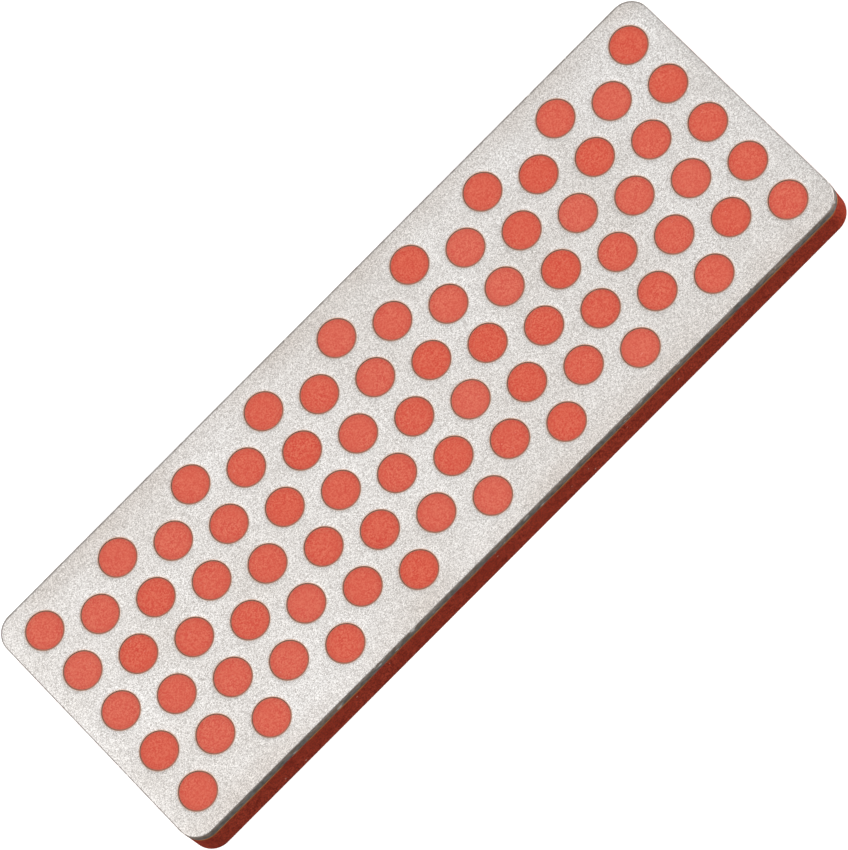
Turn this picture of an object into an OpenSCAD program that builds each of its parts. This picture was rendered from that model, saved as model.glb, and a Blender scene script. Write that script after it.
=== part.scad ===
// Pocket diamond stone for tuning ski and snowboard edges.
// A punched steel sheet lies in a mould, red polycarbonate is injected behind it and fills every
// hole, and the steel face is then plated with nickel that traps a single layer of diamond grit.
// Origin: centre of the underside. +X runs along the stone and +Z points out of the grit face.

/* [Stone] */
// Length of the stone
stone_l = 72.4; // [50:0.1:160]
// Width of the stone, nominally one inch so that it fits edge guides
stone_w = 25.4; // [18:0.1:60]
// Radius of the four corners, seen from above
corner_r = 1.9; // [1:0.1:4]

/* [Perforated plate] */
// Thickness of the steel sheet
plate_t = 1.07; // [0.6:0.01:2]
// Diameter of the punched holes
hole_d = 3.3; // [2:0.1:4]
// Distance between the centres of neighbouring holes, staggered at 60 degrees
hole_pitch = 4.76; // [3.9:0.01:8]
// Least width of steel left between a hole and the side of the plate
edge_land = 1.35; // [0.8:0.05:3]

/* [Diamond layer] */
// Thickness of the nickel with its grit
layer_t = 0.08; // [0.05:0.01:0.2]

/* [Moulded base] */
// Thickness of the plastic behind the steel sheet
base_t = 3.35; // [2:0.05:8]
// Rounding of the edge around the underside
rim_r = 0.12; // [0.06:0.02:0.5]
// Gap that shrinkage leaves between a post and the wall of its hole
post_gap = 0.04; // [0.02:0.01:0.08]
// How far the post tops lie below the grit face
post_recess = 0.08; // [0.02:0.01:0.12]

/* [Mould marks] */
// Diameter of the round marks that the ejector pins leave in the underside
ejector_d = 3.5; // [2:0.1:5]
// Depth of the ejector marks
ejector_depth = 0.1; // [0.05:0.01:0.2]
// Distance of the ejector marks from the sides of the stone
ejector_inset = 6; // [4:0.1:8]
// Diameter of the dimple around the trimmed gate, in one end of the base
gate_dimple_d = 1.8; // [1:0.1:1.9]
// Depth of the gate dimple
gate_dimple_depth = 0.3; // [0.1:0.05:0.6]
// Diameter of the gate stub left in the dimple
gate_stub_d = 0.8; // [0.4:0.1:0.9]

/* [Hidden] */
$fn = 64;

plate_z = base_t;
layer_z = plate_z + plate_t;

// Staggered columns run across the stone, and every second one is shifted by half a pitch.
column_step = hole_pitch * sin(60);
hole_inset = hole_d / 2 + edge_land;
reach_x = stone_l / 2 - hole_inset;
reach_y = stone_w / 2 - hole_inset;
last_column = floor(reach_x / column_step);
hole_spots = [
    for (column = [-last_column : last_column])
        let (shift = column % 2 == 0 ? 0 : 1 / 2)
        let (last_row = floor(reach_y / hole_pitch - shift))
        for (row = [-last_row - 2 * shift : last_row])
            [column * column_step, (row + shift) * hole_pitch]
];

post_d = hole_d - 2 * post_gap;
// The posts are rooted this deep in the base.
post_root = 1;
post_h = post_root + layer_z + layer_t - post_recess - base_t;
gate_z = base_t / 2;
gate_stub_h = gate_dimple_depth / 2;
// Cutters start this far outside the face that they cut.
overshoot = 1;

module outline(inset = 0) {
    l = stone_l - 2 * inset;
    w = stone_w - 2 * inset;
    r = corner_r - inset;
    square([l - 2 * r, w], center = true);
    square([l, w - 2 * r], center = true);
    for (x = [-1, 1], y = [-1, 1])
        translate([x * (l / 2 - r), y * (w / 2 - r)])
            circle(r = r);
}

// Repeats its child at every perforation.
module at_holes() {
    for (spot = hole_spots)
        translate([spot.x, spot.y, 0])
            children();
}

module punched_sheet(z, t) {
    difference() {
        translate([0, 0, z])
            linear_extrude(t)
                outline();
        translate([0, 0, z - overshoot])
            at_holes()
                cylinder(d = hole_d, h = t + 2 * overshoot);
    }
}

// The rounded edge around the underside: a bar along each side and a ring at each corner.
module rounded_rim() {
    side_x = stone_l / 2 - rim_r;
    side_y = stone_w / 2 - rim_r;
    straight_l = stone_l - 2 * corner_r;
    straight_w = stone_w - 2 * corner_r;
    for (s = [-1, 1]) {
        translate([0, s * side_y, rim_r])
            rotate([0, 90, 0])
                cylinder(r = rim_r, h = straight_l, center = true);
        translate([s * side_x, 0, rim_r])
            rotate([90, 0, 0])
                cylinder(r = rim_r, h = straight_w, center = true);
    }
    for (x = [-1, 1], y = [-1, 1])
        translate([x * straight_l / 2, y * straight_w / 2, rim_r])
            rotate_extrude()
                translate([corner_r - rim_r, 0])
                    circle(r = rim_r);
}

module base_block() {
    translate([0, 0, rim_r])
        linear_extrude(base_t - rim_r)
            outline();
    linear_extrude(rim_r)
        outline(rim_r);
    rounded_rim();
}

module ejector_marks() {
    for (x = [-1, 1], y = [-1, 1])
        translate([x * (stone_l / 2 - ejector_inset), y * (stone_w / 2 - ejector_inset), -overshoot])
            cylinder(d = ejector_d, h = ejector_depth + overshoot);
}

// A dimple in one end, with the cut-off stub of the gate standing in it.
module gate_mark() {
    translate([-stone_l / 2 - overshoot, 0, gate_z])
        rotate([0, 90, 0])
            difference() {
                cylinder(d = gate_dimple_d, h = gate_dimple_depth + overshoot);
                translate([0, 0, overshoot + gate_dimple_depth - gate_stub_h])
                    cylinder(d = gate_stub_d, h = gate_stub_h + overshoot);
            }
}

module moulded_base() {
    color([0.80, 0.26, 0.19])
        union() {
            difference() {
                base_block();
                ejector_marks();
                gate_mark();
            }
            at_holes()
                translate([0, 0, base_t - post_root])
                    cylinder(d = post_d, h = post_h);
        }
}

module perforated_plate() {
    color([0.45, 0.43, 0.41])
        punched_sheet(plate_z, plate_t);
}

module diamond_layer() {
    color([0.85, 0.84, 0.82])
        punched_sheet(layer_z, layer_t);
}

moulded_base();
perforated_plate();
diamond_layer();
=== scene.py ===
# Pocket diamond stone for ski and snowboard edges: a red plastic base, moulded onto a perforated
# steel sheet whose face is plated with nickel and diamond grit. It is built up from the base.
import math
import bmesh
import bpy
from mathutils import Matrix, Vector, noise


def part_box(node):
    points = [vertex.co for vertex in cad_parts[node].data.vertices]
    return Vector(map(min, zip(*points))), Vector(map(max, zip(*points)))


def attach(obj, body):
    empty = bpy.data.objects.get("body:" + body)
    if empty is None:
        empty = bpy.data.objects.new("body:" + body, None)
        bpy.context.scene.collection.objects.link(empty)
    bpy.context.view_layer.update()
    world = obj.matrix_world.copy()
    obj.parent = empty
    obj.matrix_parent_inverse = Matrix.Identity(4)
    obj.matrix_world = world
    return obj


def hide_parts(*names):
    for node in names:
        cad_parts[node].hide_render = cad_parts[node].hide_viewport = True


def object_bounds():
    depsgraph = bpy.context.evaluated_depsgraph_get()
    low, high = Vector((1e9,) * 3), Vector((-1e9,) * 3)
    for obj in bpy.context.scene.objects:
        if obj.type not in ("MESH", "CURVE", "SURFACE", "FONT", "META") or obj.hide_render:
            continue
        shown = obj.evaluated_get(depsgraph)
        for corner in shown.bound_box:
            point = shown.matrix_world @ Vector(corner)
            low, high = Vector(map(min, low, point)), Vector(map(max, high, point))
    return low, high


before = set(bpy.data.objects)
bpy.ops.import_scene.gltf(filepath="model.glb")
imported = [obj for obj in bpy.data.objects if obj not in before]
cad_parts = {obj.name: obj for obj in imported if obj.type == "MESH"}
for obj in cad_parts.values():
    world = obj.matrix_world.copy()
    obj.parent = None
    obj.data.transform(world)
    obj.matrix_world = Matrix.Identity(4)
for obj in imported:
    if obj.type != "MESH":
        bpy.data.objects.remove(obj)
cad_low, cad_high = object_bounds()

# =============================================================================================
# Moulded base. Red polycarbonate, injected behind the steel sheet in one shot: a slim block with
# 77 round posts that fill the sheet's holes. Its skin is the satin of the mould, and the post
# tops are lapped matt, a little below the face.
# =============================================================================================
MM = 0.001
plate_low, plate_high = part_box("perforated_plate")
stone_length = cad_high.x - cad_low.x
stone_width = cad_high.y - cad_low.y
corner_radius = 1.9 * MM
joint_z = plate_low.z

# The holes lie on every second point of a fine grid, which staggers them at 60 degrees.
hole_pitch = 4.76 * MM
grid_columns = 17
grid_rows = 9
column_step = hole_pitch * math.sin(math.radians(60))
row_step = hole_pitch / 2
round_sides = 48

# The wall stands a hair inside the flash, which is the thin edge squeezed out at the joint.
wall_inset = 0.02 * MM
wall_spacing = 0.3 * MM
wall_steps = 30
ripple = 0.01 * MM
flash_width = 0.08 * MM
rim_radius = 0.12 * MM

# The posts stand clear of the holes' walls, and their tops are rounded and a little dished.
post_radius = 1.635 * MM
post_height = 1.068 * MM
post_rounding = (0.09 * MM, 0.06 * MM)
post_dish = 0.018 * MM
shortest_post = 0.985

# The mould leaves four shallow ejector marks in the underside, and a trimmed gate in one end.
ejector_radius = 1.75 * MM
ejector_rounding = 0.1 * MM
ejector_depth = 0.1 * MM
ejector_inset = 6 * MM
gate_radius = 0.9 * MM
gate_depth = 0.3 * MM
gate_slope = 0.15 * MM
gate_stub_radius = 0.4 * MM
gate_stub_height = 0.15 * MM
gate_spacing = 0.1 * MM


def stations(spacing, end_spacing):
    """Stops around the outline: a point on the line that the corner arcs turn about, and the way
    outwards from it."""
    quarter_turn = math.radians(90)
    arc_steps = 20
    half_x = stone_length / 2 - corner_radius
    half_y = stone_width / 2 - corner_radius
    corners = [Vector((x * half_x, y * half_y)) for x, y in ((1, -1), (1, 1), (-1, 1), (-1, -1))]
    stops = []
    for quarter, corner in enumerate(corners):
        start = quarter_turn * (quarter - 1)
        for step in range(arc_steps):
            angle = start + quarter_turn * step / arc_steps
            stops.append((corner, Vector((math.cos(angle), math.sin(angle)))))
        along = corners[(quarter + 1) % 4] - corner
        outwards = Vector((along.y, -along.x)).normalized()
        count = round(along.length / (end_spacing if outwards.x < -0.5 else spacing))
        for step in range(count):
            stops.append((corner + along * step / count, outwards))
    return stops


def quarter_round(across, down, steps):
    """A rounded edge, wall to face: how far in from the wall and below the face each stop is."""
    angles = [math.radians(90) * step / steps for step in range(steps + 1)]
    return [(across * (1 - math.cos(angle)), down * (1 - math.sin(angle))) for angle in angles]


def wandering(spot):
    """A smooth random number from about -1 to 1: a slow drift with a weaker, quick one on it."""
    slow = 0.6 * MM
    quick = 0.2 * MM
    return noise.noise(spot / slow) + 0.7 * noise.noise(spot / quick)


def no_dent(spot, height):
    """The wall of a piece that has no dent in it."""
    return 0.0


def shell(name, levels, material, end_spacing=wall_spacing, dent=no_dent, shift=Vector((0, 0))):
    """An open wall around the stone. A level is its inset, its height and how far each wanders."""
    shape = bmesh.new()
    stops = stations(wall_spacing, end_spacing)
    rings = []
    for inset, height, wander_in, wander_up in levels:
        ring = []
        for core, outwards in stops:
            spot = core + outwards * (corner_radius - inset) + shift
            drift = wandering(Vector((spot.x, spot.y, height)))
            spot -= outwards * (wander_in * abs(drift) + dent(spot, height))
            ring.append(shape.verts.new((spot.x, spot.y, height + wander_up * drift)))
        rings.append(ring)
    for low, high in zip(rings, rings[1:]):
        for here in range(len(stops)):
            after = (here + 1) % len(stops)
            face = shape.faces.new((low[here], low[after], high[after], high[here]))
            face.smooth = True
    return as_object(name, shape, material)


def as_object(name, shape, material=None):
    """Makes an object of a shape, at the origin."""
    mesh = bpy.data.meshes.new(name)
    shape.to_mesh(mesh)
    shape.free()
    if material:
        mesh.materials.append(material)
    made = bpy.data.objects.new(name, mesh)
    bpy.context.scene.collection.objects.link(made)
    return made


def turned(name, profile):
    """A round feature: (radius, height) points turned about Z, closed where the radius is 0. Each
    point keeps its radius, in millimetres, for the materials to read."""
    shape = bmesh.new()
    reach = shape.verts.layers.float.new("from_centre")
    rings = []
    for radius, height in profile:
        ring = []
        for side in range(round_sides if radius > 0 else 1):
            angle = math.tau * side / round_sides
            vert = shape.verts.new((radius * math.cos(angle), radius * math.sin(angle), height))
            vert[reach] = radius / MM
            ring.append(vert)
        rings.append(ring)
    for low, high in zip(rings, rings[1:]):
        for side in range(round_sides):
            after = (side + 1) % round_sides
            outer = [low[side], low[after]] if len(low) > 1 else [low[0]]
            inner = [high[after], high[side]] if len(high) > 1 else [high[0]]
            shape.faces.new(outer + inner).smooth = True
    return as_object(name, shape)


def add(tree, kind, links={}, **settings):
    """Adds a node, with its settings, and with a value or a link for each input it names."""
    made = tree.nodes.new(kind)
    for name, value in settings.items():
        setattr(made, name, value)
    for name, value in links.items():
        if isinstance(value, bpy.types.NodeSocket):
            tree.links.new(value, made.inputs[name])
        else:
            made.inputs[name].default_value = value
    return made


def shape_tree(name, inputs):
    """An empty geometry node tree with named inputs, and those inputs' sockets."""
    tree = bpy.data.node_groups.new(name, "GeometryNodeTree")
    tree.is_modifier = True
    for label, kind in {"Geometry": "Geometry", **inputs}.items():
        tree.interface.new_socket(label, in_out="INPUT", socket_type="NodeSocket" + kind)
    tree.interface.new_socket("Geometry", in_out="OUTPUT", socket_type="NodeSocketGeometry")
    return tree, add(tree, "NodeGroupInput").outputs


def end_tree(tree, given, made, material):
    """Ends a tree: makes what it placed real, gives it its material and joins it to the piece."""
    real = add(tree, "GeometryNodeRealizeInstances", {0: made}).outputs[0]
    dressed = add(tree, "GeometryNodeSetMaterial", {"Geometry": real, "Material": material})
    joined = add(tree, "GeometryNodeJoinGeometry", {0: dressed.outputs[0]})
    tree.links.new(given, joined.inputs[0])
    add(tree, "NodeGroupOutput", {0: joined.outputs[0]})


def use_tree(piece, tree, values):
    """Puts a tree on a piece and sets its inputs."""
    modifier = piece.modifiers.new(tree.name, "NODES")
    modifier.node_group = tree
    for item in tree.interface.items_tree:
        if item.in_out == "INPUT" and item.name in values:
            modifier[item.identifier] = values[item.name]


def make_real(piece, *helpers):
    """Turns what a piece's trees make into its plain closed mesh, and deletes its helpers."""
    merge_within = 0.0005 * MM
    sharp_above = math.radians(50)
    bpy.context.view_layer.update()
    result = piece.evaluated_get(bpy.context.evaluated_depsgraph_get())
    mesh = bpy.data.meshes.new_from_object(result)
    piece.modifiers.clear()
    piece.data = mesh
    shape = bmesh.new()
    shape.from_mesh(mesh)
    bmesh.ops.remove_doubles(shape, verts=shape.verts, dist=merge_within)
    bmesh.ops.recalc_face_normals(shape, faces=shape.faces)
    shape.to_mesh(mesh)
    shape.free()
    mesh.set_sharp_from_angle(angle=sharp_above)
    for helper in helpers:
        bpy.data.objects.remove(helper)


def colour(code):
    """An sRGB hex colour as the linear red, green, blue and alpha that the shaders take."""
    parts = [int(code[i:i + 2], 16) / 255 for i in (1, 3, 5)]
    return [c / 12.92 if c <= 0.04045 else ((c + 0.055) / 1.055) ** 2.4 for c in parts] + [1.0]


def painted(tree, ground, *coats):
    """A colour built up over its ground. A coat is its share, its hex colour and how it goes on."""
    tone = colour(ground)
    for share, code, mode in coats:
        tone = add(tree, "ShaderNodeMix", {
            0: share, 6: tone, 7: colour(code)}, data_type="RGBA", blend_type=mode).outputs[2]
    return tone


def new_material(name):
    """A material, its tree, the Principled shader in it, and the object's own coordinates."""
    made = bpy.data.materials.new(name)
    made.use_nodes = True
    tree = made.node_tree
    tree.nodes.clear()
    shader = add(tree, "ShaderNodeBsdfPrincipled")
    add(tree, "ShaderNodeOutputMaterial", {"Surface": shader.outputs[0]})
    return made, tree, shader, add(tree, "ShaderNodeTexCoord").outputs["Object"]


def speckle(tree, where, size, low, high, most=1.0, detail=2.0, stretch=(1, 1, 1)):
    """A share out of soft noise whose blotches are about size across: 0 where the noise is under
    low, and most where it is over high."""
    scaled = add(tree, "ShaderNodeMapping", {"Vector": where, "Scale": stretch}).outputs[0]
    cloud = add(tree, "ShaderNodeTexNoise", {"Vector": scaled, "Scale": 0.5 / size, "Detail": detail})
    return add(tree, "ShaderNodeMapRange", {
        "Value": cloud.outputs["Fac"], "From Min": low, "From Max": high, "To Max": most}).outputs[0]


# Satin moulded polycarbonate: a deep coral, finely mottled by the spark-eroded mould and faintly
# clouded by the flow, with a few pale specks of dust. Just under the steel runs a broken orange
# line of painted light, standing for light shining through the thin flash.
mould_grain = 0.06 * MM
mould_pits = 0.25 * MM
flow_cloud = 1.5 * MM
dust_spacing = 1.3 * MM
flash_break = 0.5 * MM
flash_foot = joint_z - 3.2 * flash_width
flash_top = joint_z - 2.2 * flash_width
polycarbonate_ior = 1.585
skin, tree, shader, where = new_material("moulded_polycarbonate")
mottle = speckle(tree, where, mould_grain, 0.35, 0.65, stretch=(1, 1, 0.6))
cloud = speckle(tree, where, flow_cloud, 0.35, 0.65, most=0.3, stretch=(0.5, 1, 1))
dust = add(tree, "ShaderNodeTexVoronoi", {"Vector": where, "Scale": 1 / dust_spacing}).outputs["Distance"]
fleck = add(tree, "ShaderNodeMapRange", {"Value": dust, "From Min": 0.08, "From Max": 0.04}).outputs[0]
height = add(tree, "ShaderNodeSeparateXYZ", {0: where}).outputs["Z"]
# Painted light: the broken orange line just under the steel is a glow of light through the thin flash.
near_joint = add(tree, "ShaderNodeMapRange", {
    "Value": height, "From Min": flash_foot, "From Max": flash_top})
broken = speckle(tree, where, flash_break, 0.35, 0.5, stretch=(0.4, 1, 1))
flash_glow = add(tree, "ShaderNodeMath", {0: near_joint.outputs[0], 1: broken}, operation="MULTIPLY").outputs[0]
pigment = painted(
    tree, "#852212", (mottle, "#cd5037", "MIX"), (cloud, "#a22f1b", "MIX"), (fleck, "#e8b4a4", "MIX"),
    (flash_glow, "#c27a3a", "MIX"))
tree.links.new(pigment, shader.inputs["Base Color"])
satin = add(tree, "ShaderNodeMapRange", {"Value": mottle, "To Min": 0.38, "To Max": 0.5}).outputs[0]
tree.links.new(satin, shader.inputs["Roughness"])
spark = add(tree, "ShaderNodeTexNoise", {"Vector": where, "Scale": 1 / mould_pits, "Detail": 3.0})
relief = add(tree, "ShaderNodeBump", {
    "Height": spark.outputs["Fac"], "Strength": 0.5, "Distance": 0.02 * MM}).outputs[0]
tree.links.new(relief, shader.inputs["Normal"])
shader.inputs["IOR"].default_value = polycarbonate_ior

# Lapped polycarbonate: abraded by the grit, so it scatters light and looks paler and matt, with a
# fine haze, short scratches, painted shade darkening it towards its rim, and a ring of dirt and
# painted shade around it where it meets the hole.
# Each post has a little more or less haze than its neighbours.
haze_grain = 0.06 * MM
haze_cloud = 0.8 * MM
scratch_width = 0.05 * MM
scuff_width = 0.2 * MM
lapped, tree, shader, where = new_material("lapped_polycarbonate")
haze = speckle(tree, where, haze_grain, 0.35, 0.65, detail=1.0)
cloud = speckle(tree, where, haze_cloud, 0.3, 0.7, most=0.5)
chance = add(tree, "ShaderNodeAttribute", attribute_name="chance").outputs["Fac"]
own_haze = add(tree, "ShaderNodeMapRange", {"Value": chance, "To Max": 0.05}).outputs[0]
scratch = speckle(tree, where, scratch_width, 0.7, 0.82, stretch=(0.2, 1, 1))
reach = add(tree, "ShaderNodeAttribute", attribute_name="from_centre").outputs["Fac"]
# Painted shade: the top darkens towards its rim.
rim = add(tree, "ShaderNodeMapRange", {
    "Value": reach, "From Min": 1.0, "From Max": 1.5, "To Max": 0.22}).outputs[0]
# Dirt and painted shade: a dark brown ring at the post's edge, where it meets the hole.
gap_dirt_and_shade = add(tree, "ShaderNodeMapRange", {"Value": reach, "From Min": 1.52, "From Max": 1.6}).outputs[0]
pigment = painted(
    tree, "#ca2f15", (haze, "#de6b4e", "MIX"), (cloud, "#d34e33", "MIX"), (own_haze, "#f0cabc", "MIX"),
    (scratch, "#e8998a", "MIX"), (rim, "#a8301c", "MIX"), (gap_dirt_and_shade, "#a0705d", "MIX"))
tree.links.new(pigment, shader.inputs["Base Color"])
shader.inputs["Roughness"].default_value = 0.75
scuffs = add(tree, "ShaderNodeTexNoise", {"Vector": where, "Scale": 1 / scuff_width, "Detail": 4.0})
relief = add(tree, "ShaderNodeBump", {
    "Height": scuffs.outputs["Fac"], "Strength": 0.6, "Distance": 0.03 * MM}).outputs[0]
tree.links.new(relief, shader.inputs["Normal"])
shader.inputs["IOR"].default_value = polycarbonate_ior

# Sets a round feature at the points of a grid, or at every second point of it. The features'
# heights vary a little, and each carries a chance number for its material.
set_in_grid, given = shape_tree("set_in_grid", {
    "Feature": "Object", "Columns": "Int", "Rows": "Int", "Column Step": "Float", "Row Step": "Float",
    "Skip Odd": "Bool", "Height": "Float", "Shortest": "Float", "Material": "Material"})
spans = {}
for count, step in (("Columns", "Column Step"), ("Rows", "Row Step")):
    gaps = add(set_in_grid, "ShaderNodeMath", {0: given[count], 1: 1}, operation="SUBTRACT").outputs[0]
    span = add(set_in_grid, "ShaderNodeMath", {0: gaps, 1: given[step]}, operation="MULTIPLY")
    spans[count] = span.outputs[0]
grid = add(set_in_grid, "GeometryNodeMeshGrid", {
    "Size X": spans["Columns"], "Size Y": spans["Rows"],
    "Vertices X": given["Columns"], "Vertices Y": given["Rows"]}).outputs[0]
index = add(set_in_grid, "GeometryNodeInputIndex").outputs[0]
odd = add(set_in_grid, "ShaderNodeMath", {0: index, 1: 2}, operation="MODULO").outputs[0]
skipped = add(set_in_grid, "FunctionNodeBooleanMath", {0: odd, 1: given["Skip Odd"]}, operation="AND")
kept = add(set_in_grid, "GeometryNodeDeleteGeometry", {
    "Geometry": grid, "Selection": skipped.outputs[0]}, domain="POINT").outputs[0]
rise = add(set_in_grid, "ShaderNodeCombineXYZ", {"Z": given["Height"]}).outputs[0]
spots = add(set_in_grid, "GeometryNodeSetPosition", {"Geometry": kept, "Offset": rise}).outputs[0]
feature = add(set_in_grid, "GeometryNodeObjectInfo", {"Object": given["Feature"]}).outputs["Geometry"]
tallness = add(set_in_grid, "FunctionNodeRandomValue", {
    2: given["Shortest"], 3: 1.0, "Seed": 5}).outputs[1]
stretch = add(set_in_grid, "ShaderNodeCombineXYZ", {"X": 1.0, "Y": 1.0, "Z": tallness}).outputs[0]
placed = add(set_in_grid, "GeometryNodeInstanceOnPoints", {
    "Points": spots, "Instance": feature, "Scale": stretch}).outputs[0]
chance = add(set_in_grid, "FunctionNodeRandomValue", {2: 0.0, 3: 1.0, "Seed": 11}).outputs[1]
numbered = add(set_in_grid, "GeometryNodeStoreNamedAttribute", {
    "Geometry": placed, "Name": "chance", "Value": chance}, data_type="FLOAT", domain="INSTANCE").outputs[0]
end_tree(set_in_grid, given["Geometry"], numbered, given["Material"])

# Fills the flat face at one height, from the outline to the rims of the features set in it.
close_face, given = shape_tree("close_face", {"Height": "Float", "Material": "Material"})
faces_met = add(close_face, "GeometryNodeInputMeshEdgeNeighbors").outputs[0]
is_open = add(close_face, "FunctionNodeCompare", {
    2: faces_met, 3: 1}, data_type="INT", operation="EQUAL").outputs[0]
spot = add(close_face, "GeometryNodeInputPosition").outputs[0]
spot_z = add(close_face, "ShaderNodeSeparateXYZ", {0: spot}).outputs["Z"]
is_level = add(close_face, "FunctionNodeCompare", {
    0: spot_z, 1: given["Height"], "Epsilon": 0.001 * MM}, operation="EQUAL").outputs[0]
rim = add(close_face, "FunctionNodeBooleanMath", {0: is_open, 1: is_level}, operation="AND").outputs[0]
loops = add(close_face, "GeometryNodeMeshToCurve", {"Mesh": given["Geometry"], "Selection": rim}).outputs[0]
sheet = add(close_face, "GeometryNodeFillCurve", {"Curve": loops}).outputs[0]
rise = add(close_face, "ShaderNodeCombineXYZ", {"Z": given["Height"]}).outputs[0]
lifted = add(close_face, "GeometryNodeTransform", {"Geometry": sheet, "Translation": rise}).outputs[0]
smooth = add(close_face, "GeometryNodeSetShadeSmooth", {"Geometry": lifted}).outputs[0]
end_tree(close_face, given["Geometry"], smooth, given["Material"])


def gate_dent(spot, height):
    """How deep the wall dips at a spot: a round dimple in one end, with the gate's stub inside it."""
    if spot.x > corner_radius - stone_length / 2:
        return 0.0
    away = math.hypot(spot.y, height - joint_z / 2)
    dish = min(max((gate_radius - away) / gate_slope, 0), 1)
    stub = min(max((gate_stub_radius - away) / gate_slope, 0), 1)
    return gate_depth * dish - gate_stub_height * stub


# The wall goes up from the underside's rounded rim to the flash at the joint with the steel.
underside_rim = [
    (wall_inset + across, up, 0, 0)
    for across, up in reversed(quarter_round(rim_radius - wall_inset, rim_radius, 4))]
wall_top = joint_z - 2 * flash_width
wall = [
    (wall_inset, rim_radius + (wall_top - rim_radius) * step / wall_steps, ripple, 0)
    for step in range(1, wall_steps + 1)]
base = shell("red_base", [
    *underside_rim,
    *wall,
    (wall_inset, joint_z - flash_width, 0, ripple),
    (0, joint_z - 0.6 * flash_width, 2 * ripple, ripple),
    (0, joint_z - 0.2 * flash_width, 2 * ripple, 0.5 * ripple),
    (wall_inset, joint_z, 0, 0),
], skin, end_spacing=gate_spacing, dent=gate_dent)
post = turned("post", [
    (post_radius, 0),
    *[(post_radius - across, post_height - drop) for across, drop in quarter_round(*post_rounding, 3)],
    (0.8 * post_radius, post_height - 0.3 * post_dish),
    (0.5 * post_radius, post_height - 0.8 * post_dish),
    (0, post_height - post_dish),
])
ejector_mark = turned("ejector_mark", [
    *[(ejector_radius - across, ejector_depth - drop)
      for across, drop in quarter_round(ejector_rounding, ejector_depth, 3)],
    (0.5 * ejector_radius, ejector_depth),
    (0, ejector_depth),
])
use_tree(base, set_in_grid, {
    "Feature": post, "Columns": grid_columns, "Rows": grid_rows,
    "Column Step": column_step, "Row Step": row_step, "Skip Odd": True,
    "Height": joint_z, "Shortest": shortest_post, "Material": lapped})
use_tree(base, set_in_grid, {
    "Feature": ejector_mark, "Columns": 2, "Rows": 2,
    "Column Step": stone_length - 2 * ejector_inset, "Row Step": stone_width - 2 * ejector_inset,
    "Skip Odd": False, "Height": 0.0, "Shortest": 1.0, "Material": skin})
use_tree(base, close_face, {"Height": joint_z, "Material": skin})
use_tree(base, close_face, {"Height": 0.0, "Material": skin})
make_real(base, post, ejector_mark)
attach(base, "root")
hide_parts("moulded_base")

# =============================================================================================
# Perforated plate. Low-carbon steel sheet, punched with the staggered holes and then blanked out
# of the strip: a smooth burnished land low on the cut edge, a rough torn zone above it, and a
# rounded brink on top, where the burr was taken off.
# =============================================================================================
hole_radius = 1.65 * MM
plate_t = plate_high.z - plate_low.z
land_rounding = (0.05 * MM, 0.08 * MM)
land_share = 0.45
tear_depth = 0.03 * MM
brink_radius = 0.12 * MM
brink_drop = 0.8 * brink_radius

# Cut steel: dull and lightly oxidised, so most of its light is scattered. It is a cool grey and
# smoother on the land, browner and rougher where it tore, with upright tear marks, a little grime
# all over, and bright nicks of bare metal.
tear_spacing = 2.5 * MM
tear_reach = 1.6 * MM
tear_blend = 0.25 * MM
tear_mark = 0.15 * MM
grime_patch = 0.2 * MM
nick_width = 0.25 * MM
cut_steel, tree, shader, where = new_material("cut_steel")
height = add(tree, "ShaderNodeSeparateXYZ", {0: where}).outputs["Z"]
ragged = add(tree, "ShaderNodeTexNoise", {"Vector": where, "Scale": 1 / tear_spacing, "Detail": 6.0})
edge = add(tree, "ShaderNodeMath", {
    0: ragged.outputs["Fac"], 1: tear_reach, 2: height}, operation="MULTIPLY_ADD").outputs[0]
torn_from = joint_z + land_share * plate_t + 0.5 * tear_reach
torn = add(tree, "ShaderNodeMapRange", {
    "Value": edge, "From Min": torn_from, "From Max": torn_from + tear_blend}).outputs[0]
brink_z = plate_high.z - brink_radius
brink = add(tree, "ShaderNodeMapRange", {
    "Value": height, "From Min": brink_z, "From Max": brink_z + 0.5 * brink_radius}).outputs[0]
grime = speckle(tree, where, grime_patch, 0.35, 0.65)
nick = speckle(tree, where, nick_width, 0.66, 0.72, stretch=(0.6, 1, 1))
steel = painted(
    tree, "#999896", (torn, "#b29f91", "MIX"), (brink, "#b3afac", "MIX"), (grime, "#cfc8c2", "MULTIPLY"),
    (nick, "#e4e0da", "MIX"))
tree.links.new(steel, shader.inputs["Base Color"])
shader.inputs["Metallic"].default_value = 0.2
dull = add(tree, "ShaderNodeMapRange", {"Value": torn, "To Min": 0.4, "To Max": 0.65}).outputs[0]
tree.links.new(dull, shader.inputs["Roughness"])
upright = add(tree, "ShaderNodeMapping", {"Vector": where, "Scale": (1, 1, 0.15)}).outputs[0]
tears = add(tree, "ShaderNodeTexNoise", {"Vector": upright, "Scale": 1 / tear_mark, "Detail": 4.0})
relief = add(tree, "ShaderNodeBump", {
    "Height": tears.outputs["Fac"], "Strength": 0.6, "Distance": 0.03 * MM}).outputs[0]
tree.links.new(relief, shader.inputs["Normal"])

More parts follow.
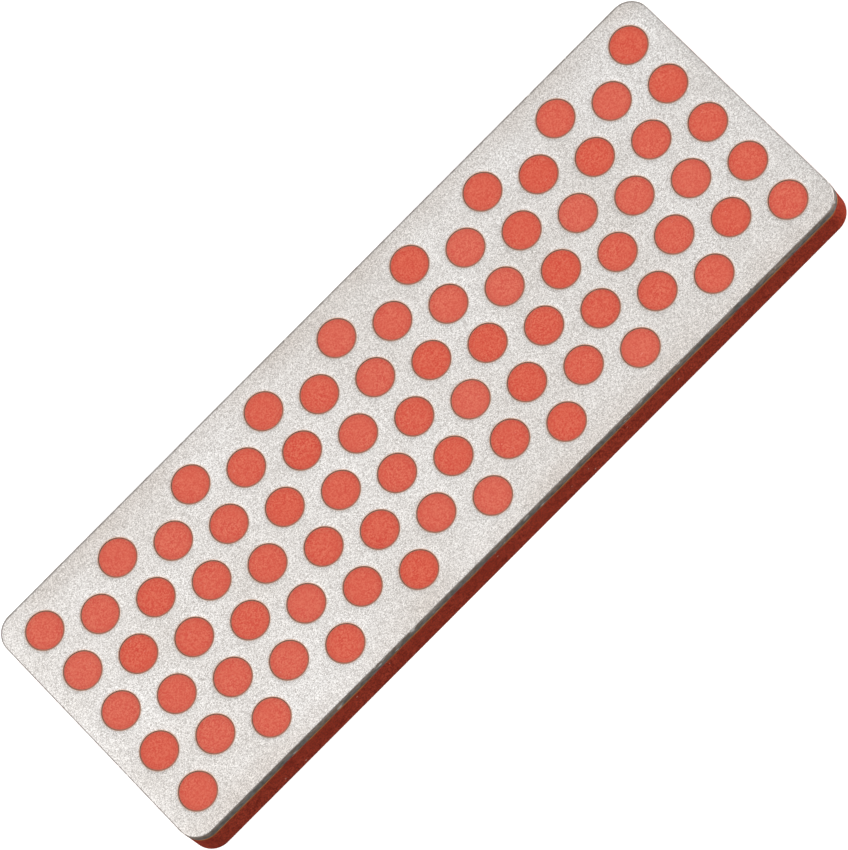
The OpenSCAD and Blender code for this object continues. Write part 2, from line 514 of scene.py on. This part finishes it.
plate = shell("steel_plate", [
    *[(across, joint_z + up, 0, 0) for across, up in reversed(quarter_round(*land_rounding, 2))],
    (0, joint_z + land_share * plate_t, 0.2 * tear_depth, 1.7 * tear_depth),
    (0, joint_z + 0.6 * plate_t, tear_depth, tear_depth),
    (0, joint_z + 0.75 * plate_t, tear_depth, 0.7 * tear_depth),
    *[(across, plate_high.z - drop, 0, 0) for across, drop in quarter_round(brink_radius, brink_drop, 4)],
], cut_steel)
hole_wall = turned("hole_wall", [(hole_radius, 0), (hole_radius, 0.5 * plate_t), (hole_radius, plate_t)])
use_tree(plate, set_in_grid, {
    "Feature": hole_wall, "Columns": grid_columns, "Rows": grid_rows,
    "Column Step": column_step, "Row Step": row_step, "Skip Odd": True,
    "Height": joint_z, "Shortest": 1.0, "Material": cut_steel})
use_tree(plate, close_face, {"Height": joint_z, "Material": cut_steel})
use_tree(plate, close_face, {"Height": plate_high.z, "Material": cut_steel})
make_real(plate, hole_wall)
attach(plate, "root")
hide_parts("perforated_plate")

# =============================================================================================
# Diamond layer. Electroplated nickel that locks one layer of diamond grit onto the steel. It
# follows the punched holes' rolled edges and thins out just inside the plate's brink. The plating
# mask sat a hair off centre.
# =============================================================================================
face_z = cad_high.z - 0.015 * MM
plating_t = face_z - plate_high.z
layer_inset = 0.075 * MM
layer_rounding = (0.1 * MM, 0.045 * MM)
layer_ragged = 0.015 * MM
layer_foot = 0.02 * MM
mask_shift = Vector((0, -0.07)) * MM
lip_radius = 2.1 * MM
lip_drop = 0.035 * MM
lip_steps = 5
grain_size = 0.12 * MM
grains_per_mm2 = 30

# Nickel over fine grit: bright grey metal, broken up by the grains into a soft sparkle, with a few
# dark pin holes. It is browner along the margins where fingers and guides rub it. Painted shade
# darkens it where it rolls into the holes, down to a brown stain and painted shade at their edges.
# The real grains are about 0.025 mm across, and are drawn over twice as coarse in the tone so that
# they show.
sparkle_size = 0.06 * MM
cloud_size = 3.5 * MM
rubbed_from = 2.2 * MM
rubbed_to = 0.5 * MM
rubbed_patch = 3 * MM
pit_spacing = 6 * MM
nickel, tree, shader, where = new_material("grit_nickel")
flat = add(tree, "ShaderNodeMapping", {"Vector": where, "Scale": (1, 1, 0)}).outputs[0]
grit = add(tree, "ShaderNodeTexVoronoi", {"Vector": flat, "Scale": 1 / sparkle_size})
sparkle = add(tree, "ShaderNodeSeparateXYZ", {0: grit.outputs["Color"]}).outputs["X"]
cloud = speckle(tree, where, cloud_size, 0.3, 0.7)
place = add(tree, "ShaderNodeSeparateXYZ", {0: where}).outputs
side = add(tree, "ShaderNodeMath", {0: place["Y"]}, operation="ABSOLUTE").outputs[0]
margin = add(tree, "ShaderNodeMapRange", {
    "Value": side, "From Min": 0.5 * stone_width - rubbed_from, "From Max": 0.5 * stone_width - rubbed_to})
rubbed = speckle(tree, where, rubbed_patch, 0.2, 0.7)
rubbed = add(tree, "ShaderNodeMath", {0: margin.outputs[0], 1: rubbed}, operation="MULTIPLY").outputs[0]
# Painted shade: the face is darkened where it rolls down into the holes.
painted_lip_shade = add(tree, "ShaderNodeMapRange", {
    "Value": place["Z"], "From Min": face_z - 0.1 * lip_drop, "From Max": face_z - 0.6 * lip_drop}).outputs[0]
# A brown stain and painted shade at the holes' edges, on the lips only.
deep = add(tree, "ShaderNodeMapRange", {
    "Value": place["Z"], "From Min": face_z - 0.65 * lip_drop, "From Max": face_z - lip_drop}).outputs[0]
reach = add(tree, "ShaderNodeAttribute", attribute_name="from_centre").outputs["Fac"]
on_lip = add(tree, "ShaderNodeMath", {0: reach, 1: 1.0}, operation="GREATER_THAN").outputs[0]
stain_and_shade = add(tree, "ShaderNodeMath", {0: deep, 1: on_lip}, operation="MULTIPLY").outputs[0]
pit = add(tree, "ShaderNodeTexVoronoi", {"Vector": flat, "Scale": 1 / pit_spacing}).outputs["Distance"]
pit = add(tree, "ShaderNodeMapRange", {"Value": pit, "From Min": 0.016, "From Max": 0.008}).outputs[0]
tone = painted(
    tree, "#b4afab", (sparkle, "#fdfbf9", "MIX"), (cloud, "#f6f4f2", "MULTIPLY"),
    (rubbed, "#f4f0ed", "MULTIPLY"), (painted_lip_shade, "#f7f5f4", "MULTIPLY"), (stain_and_shade, "#c69578", "MIX"),
    (pit, "#6a655f", "MIX"))
tree.links.new(tone, shader.inputs["Base Color"])
shader.inputs["Metallic"].default_value = 1.0
shader.inputs["Roughness"].default_value = 0.48
relief = add(tree, "ShaderNodeBump", {
    "Height": grit.outputs["Distance"], "Strength": 0.4, "Distance": 0.01 * MM}).outputs[0]
tree.links.new(relief, shader.inputs["Normal"])

# Scatters small crystals over the level part of the face: three-sided points, tilted and turned at
# random, and worn flat at one height. They stand for clusters of grains, so each is some five
# grains across. Its height and how far it is sunk are shares of its size, and its tilt is in radians.
level_above = 0.9999
grain_height = 0.3
grain_sunk = 0.12
grain_tilt = 0.3
smallest_grain = 0.55
largest_grain = 1.25
scatter, given = shape_tree("scatter_grit", {
    "Per Area": "Float", "Size": "Float", "Highest": "Float", "Material": "Material"})
facing = add(scatter, "GeometryNodeInputNormal").outputs[0]
up = add(scatter, "ShaderNodeSeparateXYZ", {0: facing}).outputs["Z"]
level = add(scatter, "FunctionNodeCompare", {0: up, 1: level_above}, operation="GREATER_THAN").outputs[0]
spots = add(scatter, "GeometryNodeDistributePointsOnFaces", {
    "Mesh": given["Geometry"], "Selection": level, "Density": given["Per Area"], "Seed": 3}).outputs["Points"]
radius = add(scatter, "ShaderNodeMath", {0: given["Size"], 1: 0.5}, operation="MULTIPLY").outputs[0]
tall = add(scatter, "ShaderNodeMath", {0: given["Size"], 1: grain_height}, operation="MULTIPLY").outputs[0]
grain = add(scatter, "GeometryNodeMeshCone", {
    "Vertices": 3, "Side Segments": 1, "Radius Top": 0.0, "Radius Bottom": radius, "Depth": tall}).outputs[0]
sunk = add(scatter, "ShaderNodeMath", {0: given["Size"], 1: -grain_sunk}, operation="MULTIPLY").outputs[0]
sunk = add(scatter, "ShaderNodeCombineXYZ", {"Z": sunk}).outputs[0]
grain = add(scatter, "GeometryNodeTransform", {"Geometry": grain, "Translation": sunk}).outputs[0]
turn = add(scatter, "FunctionNodeRandomValue", {
    0: (-grain_tilt, -grain_tilt, 0.0), 1: (grain_tilt, grain_tilt, math.tau), "Seed": 8},
    data_type="FLOAT_VECTOR").outputs[0]
growth = add(scatter, "FunctionNodeRandomValue", {
    2: smallest_grain, 3: largest_grain, "Seed": 9}).outputs[1]
grains = add(scatter, "GeometryNodeInstanceOnPoints", {
    "Points": spots, "Instance": grain, "Rotation": turn, "Scale": growth}).outputs[0]
grains = add(scatter, "GeometryNodeRealizeInstances", {0: grains}).outputs[0]
spot = add(scatter, "GeometryNodeInputPosition").outputs[0]
spot = add(scatter, "ShaderNodeSeparateXYZ", {0: spot}).outputs
worn = add(scatter, "ShaderNodeMath", {0: spot["Z"], 1: given["Highest"]}, operation="MINIMUM").outputs[0]
worn = add(scatter, "ShaderNodeCombineXYZ", {"X": spot["X"], "Y": spot["Y"], "Z": worn}).outputs[0]
grains = add(scatter, "GeometryNodeSetPosition", {"Geometry": grains, "Position": worn}).outputs[0]
grains = add(scatter, "GeometryNodeSetShadeSmooth", {"Geometry": grains, "Shade Smooth": False}).outputs[0]
end_tree(scatter, given["Geometry"], grains, given["Material"])


def map_from_above(piece):
    """Lays a piece out as it looks from above, its walls leaning out and its underside apart. A
    strip of the layout is where its middle line lies and how much of the height it takes."""
    border = 0.2 * MM
    length = stone_length + 2 * border
    width = stone_width + 2 * border
    top_strip = (0.36, 0.7)
    underside_strip = (0.86, 0.26)
    shape = bmesh.new()
    shape.from_mesh(piece.data)
    layer = shape.loops.layers.uv.new("OFBake")
    for surface in shape.faces:
        facing = surface.normal
        middle, share = underside_strip if facing.z < -0.1 else top_strip
        for corner in surface.loops:
            spot = corner.vert.co
            lean = (1 - abs(facing.z)) * (face_z - spot.z)
            corner[layer].uv = (
                0.5 + (spot.x + facing.x * lean) / length,
                middle + share * (spot.y + facing.y * lean) / width)
    shape.to_mesh(piece.data)
    shape.free()


face = shell("diamond_face", [
    (layer_inset + layer_foot, plate_high.z, 0, 0),
    (layer_inset, plate_high.z + 0.2 * layer_foot, layer_ragged, 0),
    *[(layer_inset + across, face_z - drop, layer_ragged, 0)
      for across, drop in quarter_round(*layer_rounding, 3)],
], nickel, shift=mask_shift)
rolled = [
    (lip_radius - (lip_radius - hole_radius) * share, -lip_drop * share ** 2)
    for share in (step / lip_steps for step in range(lip_steps + 1))]
hole_lip = turned("hole_lip", [*rolled, (hole_radius, -plating_t)])
use_tree(face, set_in_grid, {
    "Feature": hole_lip, "Columns": grid_columns, "Rows": grid_rows,
    "Column Step": column_step, "Row Step": row_step, "Skip Odd": True,
    "Height": face_z, "Shortest": 1.0, "Material": nickel})
use_tree(face, close_face, {"Height": face_z, "Material": nickel})
use_tree(face, scatter, {
    "Per Area": grains_per_mm2 / MM ** 2, "Size": grain_size, "Highest": cad_high.z, "Material": nickel})
use_tree(face, close_face, {"Height": plate_high.z, "Material": nickel})
make_real(face, hole_lip)
map_from_above(face)
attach(face, "root")
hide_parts("diamond_layer")

# =============================================================================================
# Studio. A pale floor, lit from within like a light table, that curves up into a sweep; a large
# soft box above the -X end, a strong low lamp beyond the +X end and a weak one beyond the other,
# and a surround that fades from the -X end to the +X end.
# =============================================================================================
floor_radius = 1.3
sweep_radius = 1.0
sweep_angles = [math.radians(angle) for angle in range(80, -1, -10)]
sweep_edge = [
    (floor_radius + sweep_radius * math.sin(angle), sweep_radius * (1 - math.cos(angle)))
    for angle in sweep_angles]
sweep = turned("floor", [*sweep_edge, (0, 0)])
pale, tree, shader, where = new_material("pale_paper")
shader.inputs["Base Color"].default_value = colour("#f8f7f5")
shader.inputs["Roughness"].default_value = 0.9
shader.inputs["Emission Color"].default_value = (1, 1, 1, 1)
shader.inputs["Emission Strength"].default_value = 0.6
sweep.data.materials.append(pale)

# The floor is there for the camera alone: it neither lights the stone nor is mirrored in it.
sweep.visible_diffuse = False
sweep.visible_glossy = False
sweep.visible_shadow = False


def soft_light(name, place, size, power):
    """A square light: its place and size in metres, its power in watts, turned towards the stone."""
    lamp = bpy.data.lights.new(name, "AREA")
    lamp.size = size
    lamp.energy = power
    made = bpy.data.objects.new(name, lamp)
    made.location = place
    made.rotation_euler = (-Vector(place)).to_track_quat("-Z", "Y").to_euler()
    bpy.context.scene.collection.objects.link(made)


soft_light("soft_box", (-0.37, 0.14, 0.57), 0.8, 1.3)
soft_light("low_lamp", (0.6, -0.14, 0.1), 0.25, 3.0)
soft_light("fill_lamp", (-0.6, -0.1, 0.1), 0.4, 0.6)

# The surround is brightest overhead, dimmer at the horizon and dark below it.
below_light = 0.02
horizon_light = 0.42
zenith_light = 1.05
bright_end = 1.24
dim_end = 0.58
world = bpy.data.worlds.new("surround")
world.use_nodes = True
tree = world.node_tree
way = add(tree, "ShaderNodeTexCoord").outputs["Generated"]
way = add(tree, "ShaderNodeSeparateXYZ", {0: way}).outputs
sky = add(tree, "ShaderNodeMapRange", {
    "Value": way["Z"], "To Min": horizon_light, "To Max": zenith_light}).outputs[0]
fade = add(tree, "ShaderNodeMapRange", {
    "Value": way["X"], "From Min": -0.9, "From Max": 0.9, "To Min": bright_end, "To Max": dim_end}).outputs[0]
sky = add(tree, "ShaderNodeMath", {0: sky, 1: fade}, operation="MULTIPLY").outputs[0]
risen = add(tree, "ShaderNodeMapRange", {"Value": way["Z"], "From Min": -0.1, "From Max": 0.05}).outputs[0]
glow = add(tree, "ShaderNodeMix", {0: risen, 2: below_light, 3: sky}).outputs[0]
tree.links.new(glow, tree.nodes["Background"].inputs["Strength"])
tree.nodes["Background"].inputs["Color"].default_value = (1, 1, 1, 1)
bpy.context.scene.world = world
bpy.context.scene.view_settings.view_transform = "Standard"

# The camera looks steeply down on the face over the near long side, with the stone lying along
# the frame's diagonal.
camera_place = Vector((8, -260, 636.1)) * MM
camera_aim = Vector((0.065, -1.143, 4.5)) * MM
camera_roll = math.radians(46.7)
camera_lens = 364.6
camera = bpy.data.objects.new("camera", bpy.data.cameras.new("camera"))
camera.data.lens = camera_lens
towards = (camera_aim - camera_place).to_track_quat("-Z", "Y").to_matrix()
rolled_over = towards @ Matrix.Rotation(-camera_roll, 3, "Z")
camera.matrix_world = Matrix.Translation(camera_place) @ rolled_over.to_4x4()
bpy.context.scene.collection.objects.link(camera)
bpy.context.scene.camera = camera
